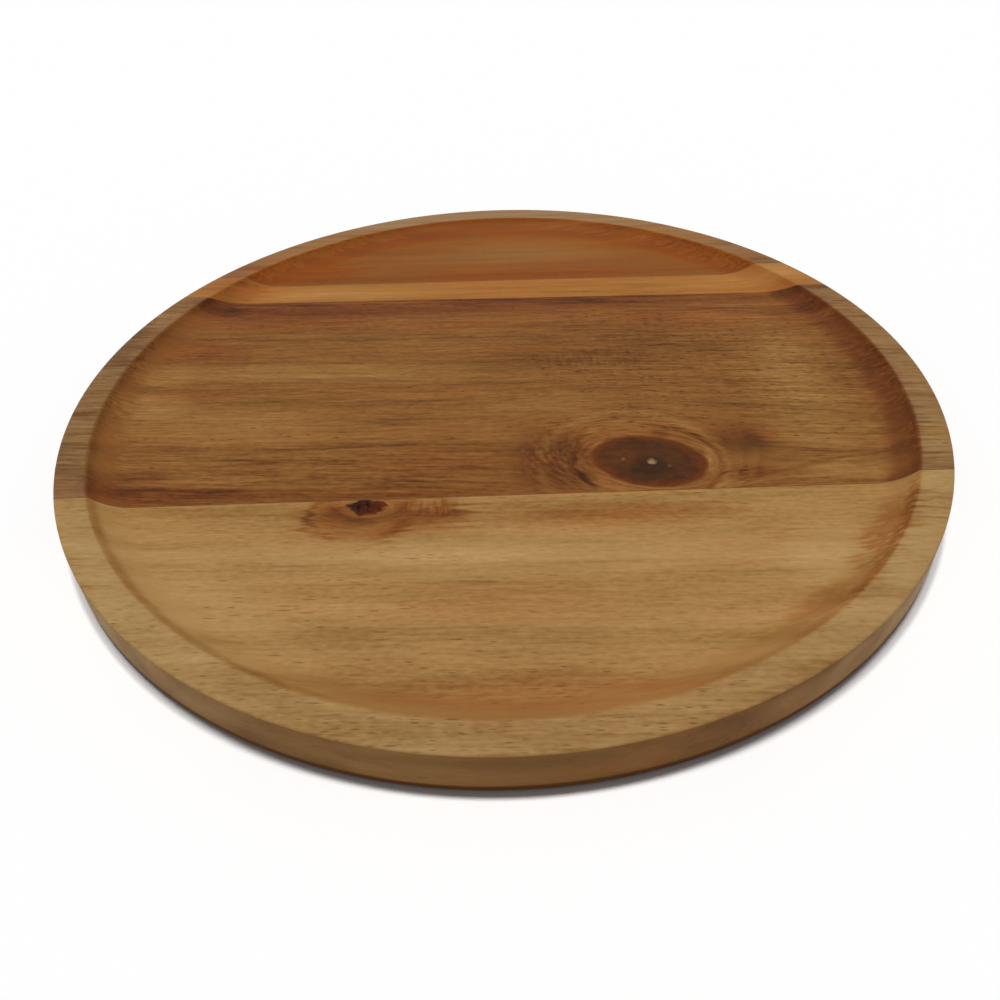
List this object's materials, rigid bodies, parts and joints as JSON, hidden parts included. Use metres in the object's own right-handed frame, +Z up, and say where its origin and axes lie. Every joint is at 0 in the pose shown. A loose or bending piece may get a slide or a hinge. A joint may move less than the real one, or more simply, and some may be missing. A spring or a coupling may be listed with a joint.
{
  "type": "appetizer plate",
  "caption": "Round shallow wooden plate turned from edge-glued acacia staves, with a flat floor, a coved wall and a narrow flat rim, for serving small food.",
  "frame": {"origin": "centre of the underside", "axes": "+Z up, out of the plate's floor; +X along the grain and the glue joints; +Y across the staves, from the front stave to the back stave"},
  "size_m": [0.2, 0.2, 0.0105],
  "materials": {
    "pale_acacia": "satin oiled",
    "brown_acacia": "satin oiled",
    "amber_acacia": "satin oiled",
    "red_acacia": "satin oiled",
    "cured_glue": "cured wood glue"
  },
  "bodies": {
    "root": {"front_stave": "pale_acacia", "middle_stave": "brown_acacia", "strip_stave": "amber_acacia", "back_stave": "red_acacia", "front_glue_line": "cured_glue", "strip_front_glue_line": "cured_glue", "strip_back_glue_line": "cured_glue"}
  },
  "joints": []
}
